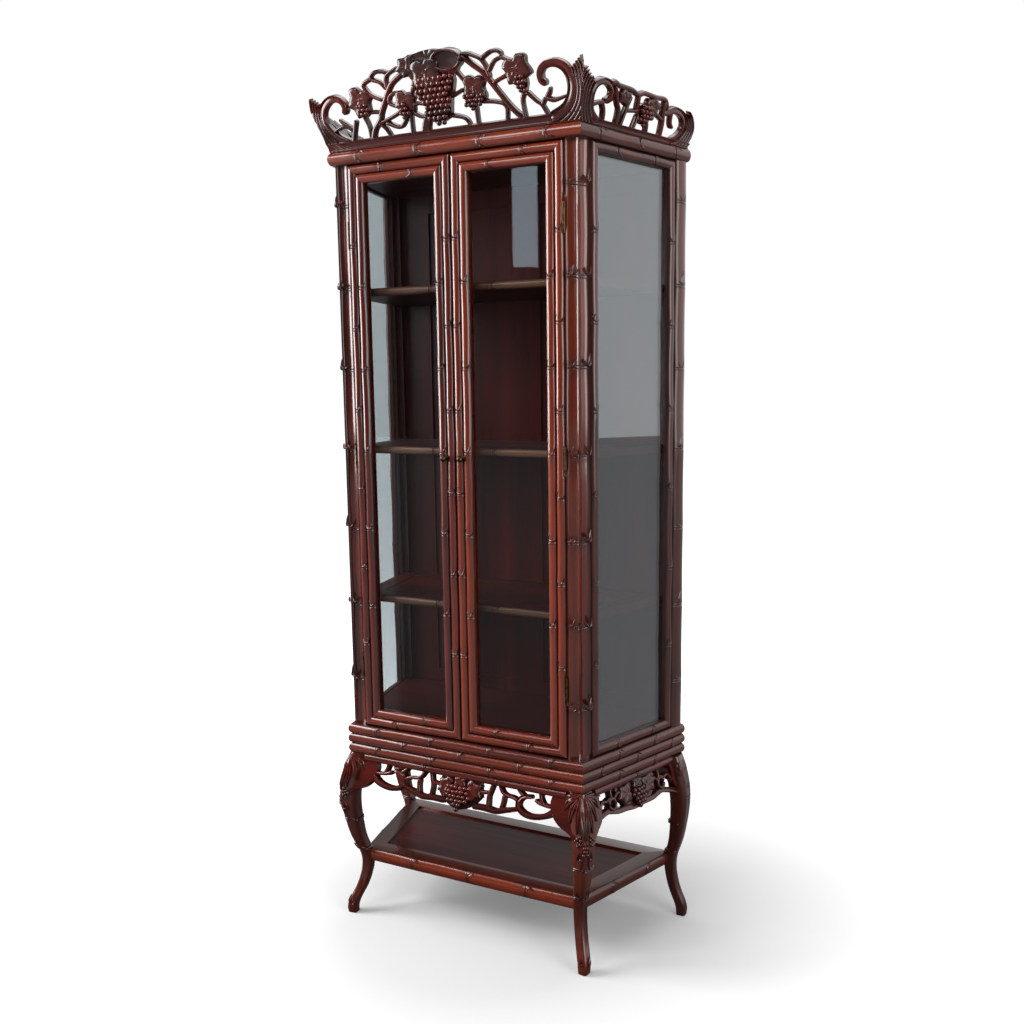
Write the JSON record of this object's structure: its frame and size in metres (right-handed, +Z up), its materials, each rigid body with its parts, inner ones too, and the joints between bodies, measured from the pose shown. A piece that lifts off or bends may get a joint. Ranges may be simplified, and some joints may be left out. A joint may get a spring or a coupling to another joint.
{
  "type": "display cabinet on stand",
  "caption": "Tall glazed cabinet with splayed sides and hinged doors on a cabriole stand, bamboo-moulded frames, pierced vine crest and a low tray.",
  "frame": {"origin": "centre of the footprint of the whole cabinet, on the floor", "axes": "+Z up, -Y towards the person who opens the doors, +X to that person's right"},
  "size_m": [0.861, 0.4166, 1.9539],
  "materials": {
    "rosewood": "glossy dark red-brown lacquer",
    "rosewood_inside": "satin dark brown",
    "glass": "clear",
    "brass": "polished"
  },
  "bodies": {
    "cabinet": {"leg_front_left": "rosewood", "leg_front_right": "rosewood", "leg_back_left": "rosewood", "leg_back_right": "rosewood", "apron_front": "rosewood", "apron_left": "rosewood", "apron_right": "rosewood", "apron_back": "rosewood", "plinth_front": "rosewood", "plinth_left": "rosewood", "plinth_right": "rosewood", "plinth_back": "rosewood", "tray_rail_front": "rosewood", "tray_rail_back": "rosewood", "tray_rail_left": "rosewood", "tray_rail_right": "rosewood", "tray_panel": "rosewood", "post_front_left": "rosewood", "post_front_right": "rosewood", "post_back_left": "rosewood", "post_back_right": "rosewood", "bottom_board": "rosewood_inside", "top_board": "rosewood_inside", "back_board": "rosewood_inside", "shelf_lower": "rosewood_inside", "shelf_middle": "rosewood_inside", "shelf_upper": "rosewood_inside", "side_frame_left": "rosewood", "side_frame_right": "rosewood", "side_glass_left": "glass", "side_glass_right": "glass", "shelf_pins": "brass", "cornice_front": "rosewood", "cornice_left": "rosewood", "cornice_right": "rosewood", "cornice_back": "rosewood", "crest_front": "rosewood", "crest_left": "rosewood", "crest_right": "rosewood", "case_hinge_leaves_left": "brass", "case_hinge_leaves_right": "brass"},
    "left_door": {"left_door_hinge_stile": "rosewood", "left_door_meeting_stile": "rosewood", "left_door_top_rail": "rosewood", "left_door_bottom_rail": "rosewood", "left_door_beads": "rosewood", "left_door_glass": "glass", "left_door_knob": "brass", "left_door_hinge_leaves": "brass"},
    "right_door": {"right_door_hinge_stile": "rosewood", "right_door_meeting_stile": "rosewood", "right_door_top_rail": "rosewood", "right_door_bottom_rail": "rosewood", "right_door_beads": "rosewood", "right_door_glass": "glass", "right_door_knob": "brass", "right_door_hinge_leaves": "brass"}
  },
  "joints": [
    {"name": "left_door_hinge", "type": "hinge", "parent": "cabinet", "child": "left_door", "pos_m": [-0.26975, -0.13271, 1.1195], "axis": [0, 0, 1], "range_deg": [-100, 0]},
    {"name": "right_door_hinge", "type": "hinge", "parent": "cabinet", "child": "right_door", "pos_m": [0.26975, -0.13271, 1.1195], "axis": [0, 0, 1], "range_deg": [0, 100]}
  ]
}
